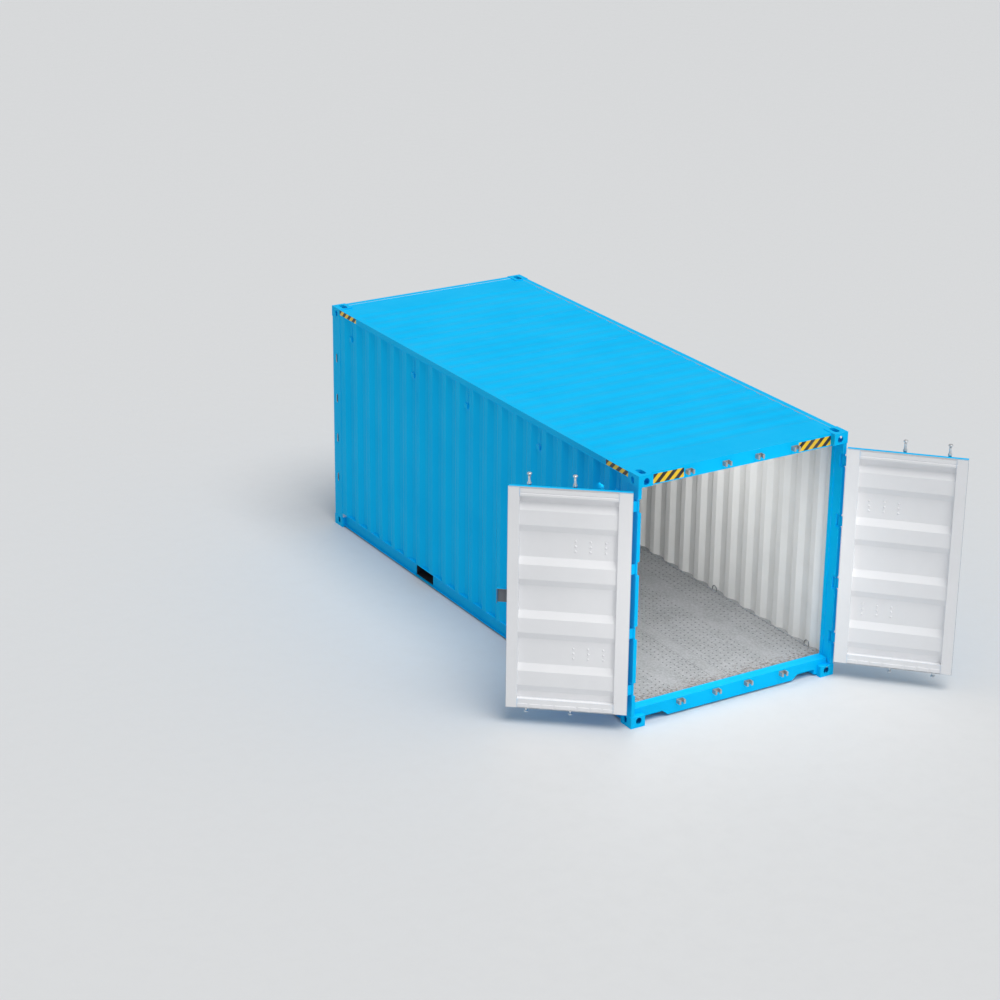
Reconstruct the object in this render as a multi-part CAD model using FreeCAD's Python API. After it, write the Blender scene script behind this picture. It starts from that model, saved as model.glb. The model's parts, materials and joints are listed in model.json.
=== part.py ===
import FreeCAD, Part

import math
import os

# A 20 ft steel cargo container (ISO 668 type 1CC) in millimetres, with its two door leaves open.
# X runs along the length with the doors at +X, Y runs across it and Z is up.  The origin is on the
# ground, at the centre of the four corner apertures.
# Near an end, s is the distance in from that end's plane.  Near a side, d is the distance in from
# that side's plane.  "Left" is the -Y side, seen from outside by someone who faces the doors.

LENGTH = 6058.0
WIDTH = 2438.0
HEIGHT = 2591.0

# Corner castings (ISO 1161)
CASTING_LENGTH = 178.0
CASTING_WIDTH = 162.0
CASTING_HEIGHT = 118.0
CASTING_WALL = 12.0
APERTURE_PLATE = 28.0
APERTURE_LENGTH = 124.5
APERTURE_WIDTH = 63.5
APERTURE_FROM_END = 102.5
APERTURE_FROM_SIDE = 89.5
SIDE_HOLE = (51.0, 72.0)
END_HOLE = (63.5, 72.0)

# Frame members: offsets in from the end, side, top and bottom planes
BOTTOM_SETBACK = 17.0
TOP_SETBACK = 6.0
POST_FACE = 6.0
POST_SIDE = 4.0
POST_WALL = 6.0
POST_NOSE = 42.0
POST_JAMB = 49.0
FRONT_POST_INNER = 52.0
POST_SLOT = (30.0, 100.0)
POST_SLOT_COUNT = 4

BEAM_WALL = 5.0
SILL_TOP = 174.0
SILL_BOTTOM = 20.0
SILL_NOTCH_TAB = 37.0
SILL_NOTCH_LENGTH = 270.0
SILL_NOTCH_SLOPE = 70.0
SILL_NOTCH_HEIGHT = 55.0
SILL_NOTCH_DEPTH = 80.0
DOORWAY_HEIGHT = 2278.0
FRONT_SILL_DEPTH = 80.0
FRONT_HEADER_DEPTH = 60.0
ROOF_TIE_PLATE = 4.0

# Side rails
RAIL_TOP = 175.0
RAIL_PLATE = 4.5
RAIL_SIDE = 5.0
RAIL_WEB_INNER = 53.0
RAIL_FOOT_SETBACK = 23.0
TOP_RAIL_SIZE = 60.0
TOP_RAIL_WALL = 3.0

# Pressed sheets: (outer flat, slope, inner flat, depth over all, gauge)
SIDE_SHEET = (72.0, 68.0, 70.0, 36.0, 2.0)
FRONT_SHEET = (110.0, 18.0, 104.0, 45.0, 2.0)
ROOF_SHEET = (45.0, 60.0, 44.0, 10.0, 2.0)
LEAF_SHEET = (258.0, 72.0, 148.0, 36.0, 2.0)
SIDE_MARGIN = 70.0
FRONT_MARGIN = 60.0
ROOF_MARGIN = 250.0
LEAF_MARGIN = 8.0
SIDE_SHEET_SIDE = 5.0
FRONT_SHEET_FACE = 8.0
ROOF_DROP = 4.0

# Floor and underframe
FLOOR_THICKNESS = 28.0
FLOOR_TOP = 170.0
FLOOR_SIDE_GAP = 1.0
FLOOR_JOINT = 2.0
FLOOR_PANELS_PER_ROW = 4
CENTRE_STRIP_WIDTH = 150.0
CROSS_MEMBER_FLANGE = 45.0
CROSS_MEMBER_PLATE = 4.0
CROSS_MEMBER_PITCH = 270.0
POCKET_CENTRES = 2080.0
POCKET_WIDTH = 360.0
POCKET_HEIGHT = 115.0
POCKET_PLATE = 5.0
POCKET_STRAP = 200.0

# Door leaves, closed
LEAF_FACE = 60.0
LEAF_THICKNESS = 64.0
LEAF_TUBE_WALL = 4.0
HINGE_EDGE_GAP = 13.0
JAMB_GAP = 6.0
CENTRE_GAP = 5.0
LEAF_END_GAP = 8.0
HINGE_STILE = 125.0
CENTRE_STILE = 105.0
LEAF_RAIL = 92.0
LEAF_RAIL_SETBACK = 8.0
DRAIN_RADIUS = 8.0
SHEET_RECESS = 6.0
GASKET_PROUD = 3.0
GASKET_BAND = 12.0
GASKET_INSET = 2.0
LEFT_OPENING = 219.4
RIGHT_OPENING = 134.3

# Hinges
HINGE_HEIGHTS = (410.0, 1000.0, 1660.0, 2290.0)
PIN_S = 25.0
PIN_D = 16.0
PIN_RADIUS = 9.0
PIN_CLEARANCE = 0.4
LUG_RADIUS = 15.0
LUG_THICKNESS = 14.0
KNUCKLE_GAP = 5.0
HINGE_POCKET_DEPTH = 58.0
HINGE_POCKET_HEIGHT = 140.0
BLADE_THICKNESS = 8.0
BLADE_REACH = 110.0
BLADE_BOLT_RADIUS = 8.0
BOLT_HEAD = 6.0

# Lock bars, cams and keepers
BAR_PLACES = (190.0, 618.0)
BAR_RADIUS = 17.0
BAR_STANDOFF = 30.0
BAR_CLEARANCE = 0.4
BAR_END_REACH = 4.0
NECK_RADIUS = 12.0
NECK_NUB = 7.0
COLLAR_RADIUS = 21.0
COLLAR_HEIGHT = 12.0
CONE_RADIUS = 18.0
CONE_HEIGHT = 28.0
CAM_LENGTH = 46.0
CAM_WIDTH = 24.0
CAM_HEIGHT = 18.0
CAM_SIDE_CLEARANCE = 5.0
CAM_BACK_CLEARANCE = 3.0
KEEPER_SIDE_CLEARANCE = 6.0
KEEPER_CHEEK = 8.0
KEEPER_LIP = 7.0
KEEPER_HEIGHT = 42.0
KEEPER_FROM_DOORWAY = 66.0
SILL_KEEPER_DROP = 35.0

# Bearing brackets
BRACKET_PLATE = 6.0
STRAP_THICKNESS = 4.6
END_BRACKET = (116.0, 125.0, 60.0)
MID_BRACKET = (88.0, 50.0, 40.0)
BRACKET_INSET = 14.0
MID_BRACKET_DROP = 100.0
END_BOLTS = ((42.0, 45.0), (42.0, -45.0), (-42.0, 45.0), (-42.0, -45.0))
MID_BOLTS = ((33.0, 0.0), (-33.0, 0.0))

# Handles and their catches
HANDLE_HEIGHT = 1300.0
HUB_RADIUS = 24.0
HUB_HEIGHT = 60.0
PIVOT_REACH = 38.0
PIVOT_RADIUS = 5.0
EYE_RADIUS = 13.0
EYE_WIDTH = 14.0
EYE_SIDE_GAP = 1.0
EAR_THICKNESS = 7.0
HANDLE_LENGTH = 335.0
HANDLE_SECTION = (16.0, 14.0)
HANDLE_ROUNDING = 4.0
GRIP_LENGTH = 110.0
GRIP_SECTION = (16.0, 24.0)
CATCH_FROM_BAR = 168.0
CATCH_PLATE = (60.0, 92.0)
CATCH_JAW = 8.0
CATCH_JAW_WIDTH = 40.0
CATCH_CLEARANCE = 5.0
CATCH_KNOB = (9.0, 16.0)

# Lock box on the left leaf
BOX_LEFT = 74.0
BOX_RIGHT = 105.0
BOX_HEIGHT = 150.0
BOX_PLATE = 4.0
BOX_FACE = 8.0
BOX_LEAF_GAP = 6.0

# Small fittings
VENT_PLATE = (45.0, 175.0, 3.0)
VENT_HOOD = (56.0, 50.0, 20.0)
VENT_TOP = 2450.0
VENT_PLACES = (-2600.0, -1200.0, -100.0, 1200.0, 2600.0)
RING_COUNT = 4
RING_BEND = 35.0
RING_ROD = 5.5
RING_LEG = 20.0
RING_FROM_DOOR_END = 389.0
RING_PITCH = 1590.0

HALF_LENGTH = LENGTH / 2
HALF_WIDTH = WIDTH / 2
TOP_CASTING_Z = HEIGHT - CASTING_HEIGHT
FRAME_TOP = HEIGHT - TOP_SETBACK
BODY_HALF_LENGTH = HALF_LENGTH - CASTING_LENGTH
BEAM_HALF_WIDTH = HALF_WIDTH - CASTING_WIDTH
HEADER_BOTTOM = SILL_TOP + DOORWAY_HEIGHT
JAMB_FACE = LEAF_FACE + LEAF_THICKNESS + JAMB_GAP
LEAF_EDGE = POST_NOSE + HINGE_EDGE_GAP
LEAF_OUTER_Y = HALF_WIDTH - LEAF_EDGE
LEAF_BOTTOM = SILL_TOP + LEAF_END_GAP
LEAF_TOP = HEADER_BOTTOM - LEAF_END_GAP
FLOOR_BOTTOM = FLOOR_TOP - FLOOR_THICKNESS
TOP_RAIL_BOTTOM = FRAME_TOP - TOP_RAIL_SIZE
PANEL_FACE = LEAF_FACE + SHEET_RECESS
BAR_S = LEAF_FACE - BAR_STANDOFF
HEADER_CAM_Z = HEADER_BOTTOM + KEEPER_FROM_DOORWAY
SILL_CAM_Z = SILL_TOP - SILL_KEEPER_DROP
POCKET_BOTTOM = BOTTOM_SETBACK + POCKET_PLATE

UP = FreeCAD.Vector(0, 0, 1)
ACROSS = FreeCAD.Vector(0, 1, 0)
ALONG = FreeCAD.Vector(1, 0, 0)
ORIGIN = FreeCAD.Vector(0, 0, 0)


def block(x0, x1, y0, y1, z0, z1):
    return Part.makeBox(x1 - x0, y1 - y0, z1 - z0, FreeCAD.Vector(x0, y0, z0))


def door_block(s0, s1, y0, y1, z0, z1):
    return block(HALF_LENGTH - s1, HALF_LENGTH - s0, y0, y1, z0, z1)


def cylinder(radius, height, x, y, z, axis=UP):
    return Part.makeCylinder(radius, height, FreeCAD.Vector(x, y, z), axis)


def prism(points, direction):
    return Part.Face(Part.makePolygon(points + points[:1])).extrude(direction)


def plan_prism(outline, z0, z1):
    """Upright prism from (s, d) corners at the door end of the right side."""
    points = [FreeCAD.Vector(HALF_LENGTH - s, HALF_WIDTH - d, z0) for s, d in outline]
    return prism(points, UP * (z1 - z0))


def fused(shapes):
    return shapes[0].multiFuse(shapes[1:]).removeSplitter()


def mirrored(shape, normal=ACROSS):
    return shape.mirror(ORIGIN, normal)


def both_sides(shape):
    return [shape, mirrored(shape)]


def four_corners(shape):
    pair = both_sides(shape)
    return pair + [mirrored(item, ALONG) for item in pair]


def obround(width, length, thickness):
    """Flat plug in the XY plane, rounded at both ends, with its length along X."""
    radius = width / 2
    reach = (length - width) / 2
    ends = [cylinder(radius, thickness, side * reach, 0, 0) for side in (-1, 1)]
    return fused([block(-reach, reach, -radius, radius, 0, thickness)] + ends)


def placed(shape, x, y, z, turn_axis=UP, turn=0.0):
    copy = shape.copy()
    copy.rotate(ORIGIN, turn_axis, turn)
    copy.translate(FreeCAD.Vector(x, y, z))
    return copy


def pressed_outline(run, sheet, margin):
    """Closed outline of a pressed sheet: u along it from its middle, v from its outer face in."""
    outer_flat, slope, inner_flat, depth, gauge = sheet
    pitch = outer_flat + inner_flat + 2 * slope
    count = int((run - 2 * margin + outer_flat) // pitch)
    start = -(count * pitch - outer_flat) / 2
    rise = depth - gauge
    shift = gauge * math.tan(math.atan2(rise, slope) / 2)
    face = [(-run / 2, 0.0)]
    back = [(-run / 2, gauge)]
    for index in range(count):
        left = start + index * pitch
        right = left + 2 * slope + inner_flat
        face += [(left, 0.0), (left + slope, rise), (right - slope, rise), (right, 0.0)]
        back += [(left - shift, gauge), (left + slope - shift, depth)]
        back += [(right - slope + shift, depth), (right + shift, gauge)]
    face.append((run / 2, 0.0))
    back.append((run / 2, gauge))
    return face + back[::-1]


def pressed_centres(run, sheet, margin):
    """Middles of the inward grooves of a pressed sheet, along u."""
    outer_flat, slope, inner_flat = sheet[:3]
    pitch = outer_flat + inner_flat + 2 * slope
    count = int((run - 2 * margin + outer_flat) // pitch)
    return [(index - (count - 1) / 2) * pitch for index in range(count)]


# Castings

def bottom_casting():
    """Door end, right side: apertures in the bottom, outer side and end."""
    x0 = HALF_LENGTH - CASTING_LENGTH
    y0 = HALF_WIDTH - CASTING_WIDTH
    outer = block(x0, HALF_LENGTH, y0, HALF_WIDTH, 0, CASTING_HEIGHT)
    cavity = block(
        x0 + CASTING_WALL, HALF_LENGTH - CASTING_WALL,
        y0 + CASTING_WALL, HALF_WIDTH - CASTING_WALL,
        APERTURE_PLATE, CASTING_HEIGHT - CASTING_WALL,
    )
    aperture_x = HALF_LENGTH - APERTURE_FROM_END
    aperture_y = HALF_WIDTH - APERTURE_FROM_SIDE
    hole_z = (APERTURE_PLATE + CASTING_HEIGHT - CASTING_WALL) / 2
    twist_hole = obround(APERTURE_WIDTH, APERTURE_LENGTH, APERTURE_PLATE)
    upright = placed(obround(*SIDE_HOLE, CASTING_WALL), 0, 0, 0, UP, 90)
    side_hole = placed(upright, aperture_x, HALF_WIDTH, hole_z, ALONG, 90)
    tall = placed(obround(*END_HOLE, CASTING_WALL), 0, 0, 0, ACROSS, 90)
    end_hole = placed(tall, HALF_LENGTH - CASTING_WALL, aperture_y, hole_z)
    holes = [placed(twist_hole, aperture_x, aperture_y, 0), side_hole, end_hole]
    return outer.cut([cavity] + holes)


def bottom_corner_castings():
    return four_corners(bottom_casting())


def top_corner_castings():
    upside_down = bottom_casting().mirror(FreeCAD.Vector(0, 0, HEIGHT / 2), UP)
    return four_corners(upside_down)


# Posts and end beams

def rear_post():
    def outline(inset):
        return [
            (POST_FACE + inset, POST_SIDE + inset),
            (POST_FACE + inset, POST_NOSE - inset),
            (JAMB_FACE + inset, POST_NOSE - inset),
            (JAMB_FACE + inset, POST_JAMB - inset),
            (CASTING_LENGTH - inset, POST_JAMB - inset),
            (CASTING_LENGTH - inset, POST_SIDE + inset),
        ]

    def hinge_pocket(z, wall):
        half = HINGE_POCKET_HEIGHT / 2 + wall
        return door_block(
            0, HINGE_POCKET_DEPTH + wall, HALF_WIDTH - POST_JAMB, HALF_WIDTH, z - half, z + half,
        )

    outer = plan_prism(outline(0), CASTING_HEIGHT, TOP_CASTING_Z)
    core = plan_prism(outline(POST_WALL), CASTING_HEIGHT, TOP_CASTING_Z)
    core = core.cut([hinge_pocket(z, POST_WALL) for z in HINGE_HEIGHTS])
    return outer.cut([core] + [hinge_pocket(z, 0) for z in HINGE_HEIGHTS])


def front_posts():
    def outline(inset):
        near, far = POST_FACE + inset, CASTING_LENGTH - inset
        side, inner = POST_SIDE + inset, FRONT_POST_INNER - inset
        return [(near, side), (near, inner), (far, inner), (far, side)]

    tube = plan_prism(outline(0), CASTING_HEIGHT, TOP_CASTING_Z)
    tube = tube.cut(plan_prism(outline(POST_WALL), CASTING_HEIGHT, TOP_CASTING_Z))
    x = HALF_LENGTH - (POST_FACE + CASTING_LENGTH) / 2
    spacing = (TOP_CASTING_Z - CASTING_HEIGHT) / (POST_SLOT_COUNT + 1)
    plug = placed(obround(*POST_SLOT, POST_WALL), 0, 0, 0, ACROSS, 90)
    plug = placed(plug, 0, 0, 0, UP, 90)
    slots = [
        placed(plug, x, HALF_WIDTH - POST_SIDE - POST_WALL, CASTING_HEIGHT + (index + 1) * spacing)
        for index in range(POST_SLOT_COUNT)
    ]
    return both_sides(mirrored(tube.cut(slots), ALONG))


def beam_core(s0, s1, z0, z1, side_reach):
    wall = BEAM_WALL
    return door_block(s0 + wall, s1 - wall, -side_reach, side_reach, z0 + wall, z1 - wall)


def door_header():
    reach = HALF_WIDTH - POST_JAMB
    tube = door_block(
        LEAF_FACE, CASTING_LENGTH, -BEAM_HALF_WIDTH, BEAM_HALF_WIDTH, HEADER_BOTTOM, FRAME_TOP,
    )
    tube = tube.cut(beam_core(LEAF_FACE, CASTING_LENGTH, HEADER_BOTTOM, FRAME_TOP, BEAM_HALF_WIDTH))
    arms = [
        door_block(LEAF_FACE, CASTING_LENGTH, y0, y1, HEADER_BOTTOM, TOP_CASTING_Z)
        for y0, y1 in ((-reach, -BEAM_HALF_WIDTH), (BEAM_HALF_WIDTH, reach))
    ]
    return fused([tube] + arms)


def sill_notch(wall):
    """Cut-out in the sill's lower edge beside the right casting, grown by a wall."""
    outer = BEAM_HALF_WIDTH - SILL_NOTCH_TAB + wall
    inner = outer - SILL_NOTCH_LENGTH - 2 * wall
    top = SILL_BOTTOM + SILL_NOTCH_HEIGHT + wall
    x = HALF_LENGTH - LEAF_FACE - SILL_NOTCH_DEPTH - wall
    corners = [
        (outer, SILL_BOTTOM), (outer, top), (inner + SILL_NOTCH_SLOPE, top), (inner, SILL_BOTTOM),
    ]
    points = [FreeCAD.Vector(x, y, z) for y, z in corners]
    return prism(points, ALONG * (SILL_NOTCH_DEPTH + wall))


def door_sill():
    reach = HALF_WIDTH - POST_JAMB
    narrow = door_block(
        LEAF_FACE, CASTING_LENGTH, -BEAM_HALF_WIDTH, BEAM_HALF_WIDTH, SILL_BOTTOM, CASTING_HEIGHT,
    )
    wide = door_block(LEAF_FACE, CASTING_LENGTH, -reach, reach, CASTING_HEIGHT, SILL_TOP)
    core = beam_core(LEAF_FACE, CASTING_LENGTH, SILL_BOTTOM, SILL_TOP, reach)
    core = core.cut(both_sides(sill_notch(BEAM_WALL)))
    return fused([narrow, wide]).cut([core] + both_sides(sill_notch(0)))


def front_header():
    s1 = POST_FACE + FRONT_HEADER_DEPTH
    tube = door_block(POST_FACE, s1, -BEAM_HALF_WIDTH, BEAM_HALF_WIDTH, TOP_CASTING_Z, FRAME_TOP)
    tube = tube.cut(beam_core(POST_FACE, s1, TOP_CASTING_Z, FRAME_TOP, BEAM_HALF_WIDTH))
    plate_top = FRAME_TOP - ROOF_DROP
    plate = door_block(
        s1, CASTING_LENGTH, -BEAM_HALF_WIDTH, BEAM_HALF_WIDTH, plate_top - ROOF_TIE_PLATE, plate_top,
    )
    return mirrored(fused([tube, plate]), ALONG)


def front_sill():
    s1 = POST_FACE + FRONT_SILL_DEPTH
    reach = HALF_WIDTH - FRONT_POST_INNER
    narrow = door_block(
        POST_FACE, s1, -BEAM_HALF_WIDTH, BEAM_HALF_WIDTH, SILL_BOTTOM, CASTING_HEIGHT,
    )
    wide = door_block(POST_FACE, s1, -reach, reach, CASTING_HEIGHT, SILL_TOP)
    core = beam_core(POST_FACE, s1, SILL_BOTTOM, SILL_TOP, reach)
    return mirrored(fused([narrow, wide]).cut(core), ALONG)


# Rails and pressed sheets

def bottom_side_rails():
    def strip(d0, d1, z0, z1):
        return block(
            -BODY_HALF_LENGTH, BODY_HALF_LENGTH, HALF_WIDTH - d1, HALF_WIDTH - d0, z0, z1,
        )

    web_outer = RAIL_WEB_INNER - RAIL_PLATE
    top = strip(RAIL_SIDE, RAIL_WEB_INNER, RAIL_TOP - RAIL_PLATE, RAIL_TOP)
    web = strip(web_outer, RAIL_WEB_INNER, BOTTOM_SETBACK, RAIL_TOP)
    foot = strip(RAIL_FOOT_SETBACK, RAIL_WEB_INNER, BOTTOM_SETBACK, BOTTOM_SETBACK + RAIL_PLATE)
    mouths = [
        block(
            x - POCKET_WIDTH / 2, x + POCKET_WIDTH / 2,
            HALF_WIDTH - RAIL_WEB_INNER, HALF_WIDTH - web_outer,
            POCKET_BOTTOM, POCKET_BOTTOM + POCKET_HEIGHT,
        )
        for x in (-POCKET_CENTRES / 2, POCKET_CENTRES / 2)
    ]
    return both_sides(fused([top, web, foot]).cut(mouths))


def top_side_rails():
    y0, y1 = HALF_WIDTH - POST_SIDE - TOP_RAIL_SIZE, HALF_WIDTH - POST_SIDE
    wall = TOP_RAIL_WALL
    outer = block(-BODY_HALF_LENGTH, BODY_HALF_LENGTH, y0, y1, TOP_RAIL_BOTTOM, FRAME_TOP)
    core = block(
        -BODY_HALF_LENGTH, BODY_HALF_LENGTH, y0 + wall, y1 - wall,
        TOP_RAIL_BOTTOM + wall, FRAME_TOP - wall,
    )
    return both_sides(outer.cut(core))


def side_wall():
    outline = pressed_outline(2 * BODY_HALF_LENGTH, SIDE_SHEET, SIDE_MARGIN)
    face_y = HALF_WIDTH - SIDE_SHEET_SIDE
    points = [FreeCAD.Vector(u, face_y - v, RAIL_TOP) for u, v in outline]
    return prism(points, UP * (TOP_RAIL_BOTTOM - RAIL_TOP))


def front_wall():
    outline = pressed_outline(2 * (HALF_WIDTH - FRONT_POST_INNER), FRONT_SHEET, FRONT_MARGIN)
    face_x = -HALF_LENGTH + FRONT_SHEET_FACE
    points = [FreeCAD.Vector(face_x + v, u, SILL_TOP) for u, v in outline]
    return prism(points, UP * (TOP_CASTING_Z - SILL_TOP))


def roof_panel():
    outline = pressed_outline(2 * BODY_HALF_LENGTH, ROOF_SHEET, ROOF_MARGIN)
    half = HALF_WIDTH - POST_SIDE - TOP_RAIL_SIZE
    points = [FreeCAD.Vector(u, -half, FRAME_TOP - ROOF_DROP - v) for u, v in outline]
    return prism(points, ACROSS * (2 * half))


# Floor and underframe

def floor_panels():
    x0 = -HALF_LENGTH + POST_FACE + FRONT_SILL_DEPTH
    span = (BODY_HALF_LENGTH - x0 + FLOOR_JOINT) / FLOOR_PANELS_PER_ROW
    y0 = CENTRE_STRIP_WIDTH / 2 + FLOOR_JOINT
    y1 = HALF_WIDTH - RAIL_WEB_INNER - FLOOR_SIDE_GAP
    panels = []
    for index in range(FLOOR_PANELS_PER_ROW):
        start = x0 + index * span
        board = block(start, start + span - FLOOR_JOINT, y0, y1, FLOOR_BOTTOM, FLOOR_TOP)
        panels += both_sides(board)
    return panels


def floor_centre_strip():
    half = CENTRE_STRIP_WIDTH / 2
    x0 = -HALF_LENGTH + POST_FACE + FRONT_SILL_DEPTH
    return block(x0, BODY_HALF_LENGTH, -half, half, FLOOR_BOTTOM, FLOOR_TOP)


def cross_members():
    """Channels under the floor, spread evenly over the three bays beside the fork pockets."""
    half = HALF_WIDTH - RAIL_WEB_INNER
    sleeve = POCKET_WIDTH / 2 + POCKET_PLATE
    stops = [-BODY_HALF_LENGTH]
    for x in (-POCKET_CENTRES / 2, POCKET_CENTRES / 2):
        stops += [x - sleeve, x + sleeve]
    stops.append(BODY_HALF_LENGTH)
    channels = []
    for start, end in zip(stops[::2], stops[1::2]):
        bays = max(2, round((end - start) / CROSS_MEMBER_PITCH))
        pitch = (end - start) / bays
        for index in range(1, bays):
            x = start + index * pitch - CROSS_MEMBER_FLANGE / 2
            outer = block(x, x + CROSS_MEMBER_FLANGE, -half, half, SILL_BOTTOM, FLOOR_BOTTOM)
            inner = block(
                x + CROSS_MEMBER_PLATE, x + CROSS_MEMBER_FLANGE, -half, half,
                SILL_BOTTOM + CROSS_MEMBER_PLATE, FLOOR_BOTTOM - CROSS_MEMBER_PLATE,
            )
            channels.append(outer.cut(inner))
    return channels


def fork_pockets():
    half = HALF_WIDTH - RAIL_WEB_INNER
    ceiling = POCKET_BOTTOM + POCKET_HEIGHT
    sleeves = []
    for x in (-POCKET_CENTRES / 2, POCKET_CENTRES / 2):
        x0, x1 = x - POCKET_WIDTH / 2, x + POCKET_WIDTH / 2
        pieces = [
            block(x0 - POCKET_PLATE, x0, -half, half, BOTTOM_SETBACK, FLOOR_BOTTOM),
            block(x1, x1 + POCKET_PLATE, -half, half, BOTTOM_SETBACK, FLOOR_BOTTOM),
            block(x0, x1, -half, half, ceiling, FLOOR_BOTTOM),
            block(x0, x1, -half, POCKET_STRAP - half, BOTTOM_SETBACK, POCKET_BOTTOM),
            block(x0, x1, half - POCKET_STRAP, half, BOTTOM_SETBACK, POCKET_BOTTOM),
        ]
        sleeves.append(fused(pieces))
    return sleeves


# Fittings fixed to the body

def post_hinge_lugs():
    """Two plates and a pin at each hinge, on the right post."""
    x, y = HALF_LENGTH - PIN_S, HALF_WIDTH - PIN_D
    half = HINGE_POCKET_HEIGHT / 2
    lugs = []
    for z in HINGE_HEIGHTS:
        pieces = [cylinder(PIN_RADIUS, 2 * half, x, y, z - half)]
        for low in (z - half, z + half - LUG_THICKNESS):
            tongue = door_block(
                PIN_S, HINGE_POCKET_DEPTH, y - LUG_RADIUS, y + LUG_RADIUS, low, low + LUG_THICKNESS,
            )
            pieces += [tongue, cylinder(LUG_RADIUS, LUG_THICKNESS, x, y, low)]
        lugs.append(fused(pieces))
    return lugs


def keeper(y, z):
    """C-shaped catch on the header or sill face that holds a cam once the bar is turned."""
    inner_half = CAM_LENGTH / 2 + KEEPER_SIDE_CLEARANCE
    mouth_half = CAM_WIDTH / 2 + CAM_SIDE_CLEARANCE
    outer_half = inner_half + KEEPER_CHEEK
    lip_back = BAR_S - mouth_half
    cam_back = BAR_S + CAM_LENGTH / 2 + CAM_BACK_CLEARANCE
    z0, z1 = z - KEEPER_HEIGHT / 2, z + KEEPER_HEIGHT / 2
    body = door_block(lip_back - KEEPER_LIP, LEAF_FACE, y - outer_half, y + outer_half, z0, z1)
    hollow = door_block(lip_back, cam_back, y - inner_half, y + inner_half, z0, z1)
    mouth = door_block(lip_back - KEEPER_LIP, lip_back, y - mouth_half, y + mouth_half, z0, z1)
    return body.cut([hollow, mouth])


def cam_keepers():
    places = [side * y for y in BAR_PLACES for side in (-1, 1)]
    return [keeper(y, z) for z in (SILL_CAM_Z, HEADER_CAM_Z) for y in places]


def wall_vents():
    """Air vents in the grooves of the side sheets, below the top rail."""
    grooves = pressed_centres(2 * BODY_HALF_LENGTH, SIDE_SHEET, SIDE_MARGIN)
    depth, gauge = SIDE_SHEET[3:]
    seat = HALF_WIDTH - SIDE_SHEET_SIDE - depth + gauge
    vents = []
    for place in VENT_PLACES:
        x = min(grooves, key=lambda groove: abs(groove - place))
        bottom = VENT_TOP - VENT_PLATE[1]
        plate = block(
            x - VENT_PLATE[0] / 2, x + VENT_PLATE[0] / 2, seat, seat + VENT_PLATE[2], bottom, VENT_TOP,
        )
        hood = block(
            x - VENT_HOOD[0] / 2, x + VENT_HOOD[0] / 2, seat, seat + VENT_HOOD[2],
            bottom, bottom + VENT_HOOD[1],
        )
        vents += both_sides(fused([plate, hood]))
    return vents


def lashing_rings():
    """Bent rods that stand on the rail's inner ledge, along both side walls."""
    depth = SIDE_SHEET[3]
    y = HALF_WIDTH - (SIDE_SHEET_SIDE + depth + RAIL_WEB_INNER) / 2
    rings = []
    for index in range(RING_COUNT):
        x = HALF_LENGTH - RING_FROM_DOOR_END - index * RING_PITCH
        crown = FreeCAD.Vector(x, y, RAIL_TOP + RING_LEG)
        bend = Part.makeTorus(RING_BEND, RING_ROD, crown, ACROSS, -180, 180, 180)
        bend.rotate(crown, ACROSS, -90)
        pieces = [bend]
        for foot in (x - RING_BEND, x + RING_BEND):
            pieces.append(cylinder(RING_ROD, RING_LEG, foot, y, RAIL_TOP))
        rings += both_sides(fused(pieces))
    return rings


# Door leaves: each piece is made for the closed right leaf, then set on its side and swung open

def on_leaf(shape, side):
    opening = RIGHT_OPENING if side > 0 else -LEFT_OPENING
    piece = shape.copy() if side > 0 else mirrored(shape)
    piece.rotate(FreeCAD.Vector(HALF_LENGTH - PIN_S, side * (HALF_WIDTH - PIN_D), 0), UP, opening)
    return piece


def leaf_block(inset, depth, y0, y1, z0, z1):
    """Block set in from the leaf's outer face."""
    return door_block(LEAF_FACE + inset, LEAF_FACE + inset + depth, y0, y1, z0, z1)


def leaf_stiles():
    wall = LEAF_TUBE_WALL
    x = HALF_LENGTH - LEAF_FACE - LEAF_THICKNESS / 2
    stiles = []
    for y0, y1 in ((CENTRE_GAP, CENTRE_GAP + CENTRE_STILE), (LEAF_OUTER_Y - HINGE_STILE, LEAF_OUTER_Y)):
        outer = leaf_block(0, LEAF_THICKNESS, y0, y1, LEAF_BOTTOM, LEAF_TOP)
        core = leaf_block(
            wall, LEAF_THICKNESS - 2 * wall, y0 + wall, y1 - wall, LEAF_BOTTOM + wall, LEAF_TOP - wall,
        )
        drain = cylinder(DRAIN_RADIUS, wall, x, (y0 + y1) / 2, LEAF_BOTTOM)
        stiles.append(outer.cut([core, drain]))
    return stiles


def leaf_rails():
    wall = LEAF_TUBE_WALL
    depth = LEAF_THICKNESS - LEAF_RAIL_SETBACK
    y0, y1 = CENTRE_GAP + CENTRE_STILE, LEAF_OUTER_Y - HINGE_STILE
    rails = []
    for z0, z1 in ((LEAF_BOTTOM, LEAF_BOTTOM + LEAF_RAIL), (LEAF_TOP - LEAF_RAIL, LEAF_TOP)):
        outer = leaf_block(0, depth, y0, y1, z0, z1)
        core = leaf_block(wall, depth - 2 * wall, y0, y1, z0 + wall, z1 - wall)
        rails.append(outer.cut(core))
    return rails


def leaf_panel():
    height = LEAF_TOP - LEAF_BOTTOM - 2 * LEAF_RAIL
    middle = (LEAF_TOP + LEAF_BOTTOM) / 2
    y0, y1 = CENTRE_GAP + CENTRE_STILE, LEAF_OUTER_Y - HINGE_STILE
    face_x = HALF_LENGTH - PANEL_FACE
    outline = pressed_outline(height, LEAF_SHEET, LEAF_MARGIN)
    points = [FreeCAD.Vector(face_x - v, y0, middle + u) for u, v in outline]
    return [prism(points, ACROSS * (y1 - y0))]


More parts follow.
